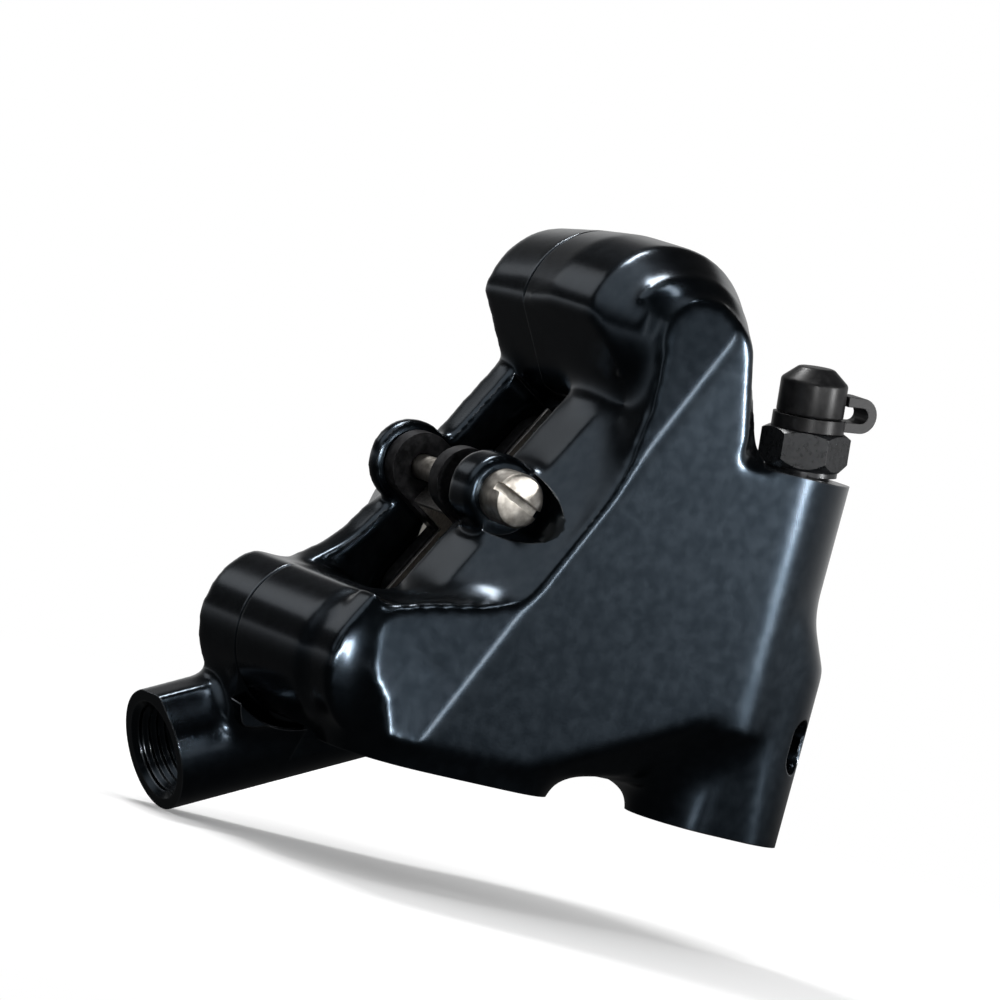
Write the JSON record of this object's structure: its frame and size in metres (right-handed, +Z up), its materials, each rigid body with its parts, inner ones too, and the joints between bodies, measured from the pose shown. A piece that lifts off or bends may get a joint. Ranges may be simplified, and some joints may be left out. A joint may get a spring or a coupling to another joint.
{
  "type": "hydraulic disc brake caliper",
  "caption": "Two-piece flat-mount hydraulic disc brake caliper with opposed pistons, pads on a slotted axle, a capped bleed nipple and an open hose port.",
  "frame": {"origin": "middle of the two mounting holes, on the mount face", "axes": "+X along the mount face towards the bicycle's rear, +Y inboard towards the wheel, +Z up out of the frame's mounting surface"},
  "size_m": [0.054, 0.0356, 0.0607],
  "materials": {
    "body": "near-black blue-grey anodised aluminium with a soft gloss",
    "bolt_steel": "black steel",
    "seal_rubber": "matt black rubber",
    "piston": "off-white ceramic",
    "pad_plate": "dark plated steel",
    "pad_friction": "brown-grey resin with metal specks",
    "spring_steel": "spring steel",
    "axle_steel": "worn nickel-plated steel",
    "nipple_steel": "black oxide steel",
    "cap_rubber": "satin black rubber"
  },
  "bodies": {
    "caliper": {"outer_half": "body", "inner_half": "body", "body_bolt_upper": "bolt_steel", "body_bolt_lower": "bolt_steel", "transfer_seal": "seal_rubber", "outer_piston_seal": "seal_rubber", "inner_piston_seal": "seal_rubber", "pad_spring": "spring_steel"},
    "outer_piston": {"outer_piston": "piston"},
    "inner_piston": {"inner_piston": "piston"},
    "outer_pad": {"outer_pad_plate": "pad_plate", "outer_pad_friction": "pad_friction"},
    "inner_pad": {"inner_pad_plate": "pad_plate", "inner_pad_friction": "pad_friction"},
    "pad_axle": {"pad_axle": "axle_steel", "axle_clip": "spring_steel"},
    "bleed_nipple": {"bleed_nipple": "nipple_steel", "cap_strap": "cap_rubber"},
    "bleed_cap": {"bleed_cap": "cap_rubber"}
  },
  "joints": [
    {"name": "outer_piston_slide", "type": "slide", "parent": "caliper", "child": "outer_piston", "axis": [0, 1, 0], "range_m": [0, 0.0013]},
    {"name": "inner_piston_slide", "type": "slide", "parent": "caliper", "child": "inner_piston", "axis": [0, -1, 0], "range_m": [0, 0.0013]},
    {"name": "outer_pad_slide", "type": "slide", "parent": "caliper", "child": "outer_pad", "axis": [0, 1, 0], "range_m": [0, 0.0013], "deforming": ["pad_spring"]},
    {"name": "inner_pad_slide", "type": "slide", "parent": "caliper", "child": "inner_pad", "axis": [0, -1, 0], "range_m": [0, 0.0013], "deforming": ["pad_spring"]},
    {"name": "pad_axle_turn", "type": "hinge", "parent": "caliper", "child": "pad_axle", "pos_m": [-0.01237, 0.008, 0.02478], "axis": [0, 1, 0], "continuous": true},
    {"name": "bleed_nipple_turn", "type": "hinge", "parent": "caliper", "child": "bleed_nipple", "pos_m": [0.0159, 0, 0.033], "axis": [-0.1219, 0, 0.9925], "range_deg": [0, 90]},
    {"name": "bleed_cap_lift", "type": "slide", "parent": "bleed_nipple", "child": "bleed_cap", "axis": [-0.1219, 0, 0.9925], "range_m": [0, 0.0045], "deforming": ["cap_strap"]}
  ],
  "couplings": [
    {"joint": "inner_piston_slide", "follows": "outer_piston_slide", "ratio": 1},
    {"joint": "outer_pad_slide", "follows": "outer_piston_slide", "ratio": 1},
    {"joint": "inner_pad_slide", "follows": "outer_piston_slide", "ratio": 1}
  ]
}
